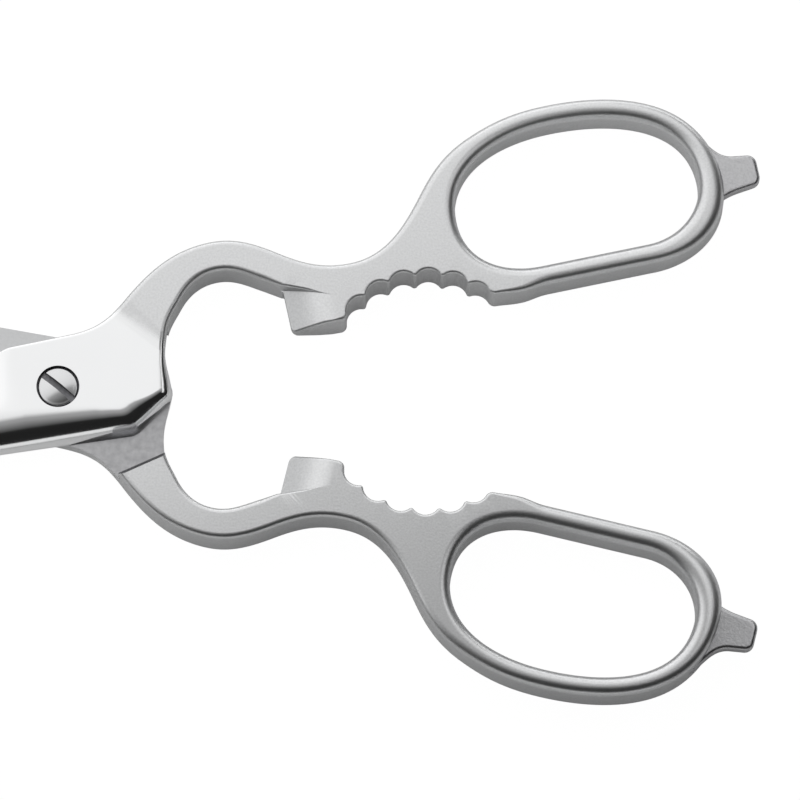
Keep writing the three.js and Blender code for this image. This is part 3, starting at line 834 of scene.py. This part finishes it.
lamps = {  # level is the brightness of the lamp's own face, where 1 is white
    "softbox": {"at": (-0.168, 0.1405, 0.14), "aim": (-0.168, 0.1405, 0.0), "turn": 30.0,
                "size": (0.55, 0.42),
                "level": 0.48, "fade": 0.038},
    "overhead": {"at": (-0.123, 0.114, 0.15), "aim": (-0.123, 0.114, 0.0), "turn": 30.0, "size": (0.6, 0.5),
                 "level": 0.29, "fade": 0.14},
    "backPanel": {"at": (-0.15, 0.6, 0.12), "aim": (-0.15, 0.0, 0.0), "turn": 0.0, "size": (1.4, 0.22),
                  "level": 1.2, "fade": 0.0},
    "sideCard": {"at": (0.155, 0.01, 0.14), "aim": (0.155, 0.01, 0.0), "turn": 0.0, "size": (0.1, 0.12),
                 "level": 0.7, "fade": 0.0},
    "frontCard": {"at": (0.05, -0.75, 0.09), "aim": (0.05, 0.0, 0.0), "turn": 0.0, "size": (1.2, 0.18),
                  "level": 0.8, "fade": 0.0},
}


def addLamp(name, look):
    data = bpy.data.lights.new(name, "AREA")
    data.shape = "RECTANGLE"
    data.size, data.size_y = look["size"]
    data.energy = look["level"] * math.pi * data.size * data.size_y
    lamp = bpy.data.objects.new(name, data)
    lamp.location = look["at"]
    aim = (Vector(look["aim"]) - Vector(look["at"])).to_track_quat("-Z", "Y").to_matrix()
    lamp.rotation_euler = (aim @ Matrix.Rotation(math.radians(look["turn"]), 3, "Z")).to_euler()
    lamp.visible_camera = False
    bpy.context.scene.collection.objects.link(lamp)
    if look["fade"]:  # the lower side of the lamp fades out
        data.use_nodes = True
        tree = data.node_tree
        spot = addNode(tree, "ShaderNodeNewGeometry")
        part = addNode(tree, "ShaderNodeSeparateXYZ", Vector=spot.outputs["Parametric"])
        share = addNode(tree, "ShaderNodeMapRange", {"From Max": look["fade"]}, Value=part.outputs["Y"])
        tree.links.new(share.outputs["Result"], tree.nodes["Emission"].inputs["Strength"])


skyLook = {"bright": 0.32, "dark": 0.015, "toward": (-0.5, 0.85, 0.0), "darkEnd": -0.3, "brightEnd": 0.6}


def makeSky():
    world = bpy.data.worlds.new("studio")
    bpy.context.scene.world = world
    world.use_nodes = True
    tree = world.node_tree
    background = tree.nodes["Background"]
    way = addNode(tree, "ShaderNodeTexCoord")
    side = addNode(tree, "ShaderNodeVectorMath", {"operation": "DOT_PRODUCT"})
    tree.links.new(way.outputs["Generated"], side.inputs[0])
    side.inputs[1].default_value = skyLook["toward"]
    level = addNode(tree, "ShaderNodeMapRange", {
        "interpolation_type": "SMOOTHSTEP",
        "From Min": skyLook["darkEnd"], "From Max": skyLook["brightEnd"],
        "To Min": skyLook["dark"], "To Max": skyLook["bright"],
    }, Value=side.outputs["Value"])
    tree.links.new(level.outputs["Result"], background.inputs["Strength"])
    background.inputs["Color"].default_value = (1.0, 1.0, 1.0, 1.0)


view = {"target": (0.04165, -0.00041, 0.004), "elevation": 75.0, "distance": 1.5, "roll": 0.85,
        "field": 0.12308}


def placeCamera():
    data = bpy.data.cameras.new("camera")
    data.sensor_width = 36
    data.lens = data.sensor_width * view["distance"] / view["field"]
    data.clip_start = 0.1
    data.clip_end = 20
    camera = bpy.data.objects.new("camera", data)
    lift = math.radians(view["elevation"])
    back = Vector((0, -math.cos(lift), math.sin(lift)))
    camera.location = Vector(view["target"]) + back * view["distance"]
    roll = Matrix.Rotation(math.radians(view["roll"]), 4, "Z")
    camera.rotation_euler = ((-back).to_track_quat("-Z", "Y").to_matrix().to_4x4() @ roll).to_euler()
    bpy.context.scene.collection.objects.link(camera)
    bpy.context.scene.camera = camera


makeFloor()
for name, look in lamps.items():
    addLamp(name, look)
makeSky()
placeCamera()
bpy.context.scene.view_settings.view_transform = "Standard"
print("studio ready")
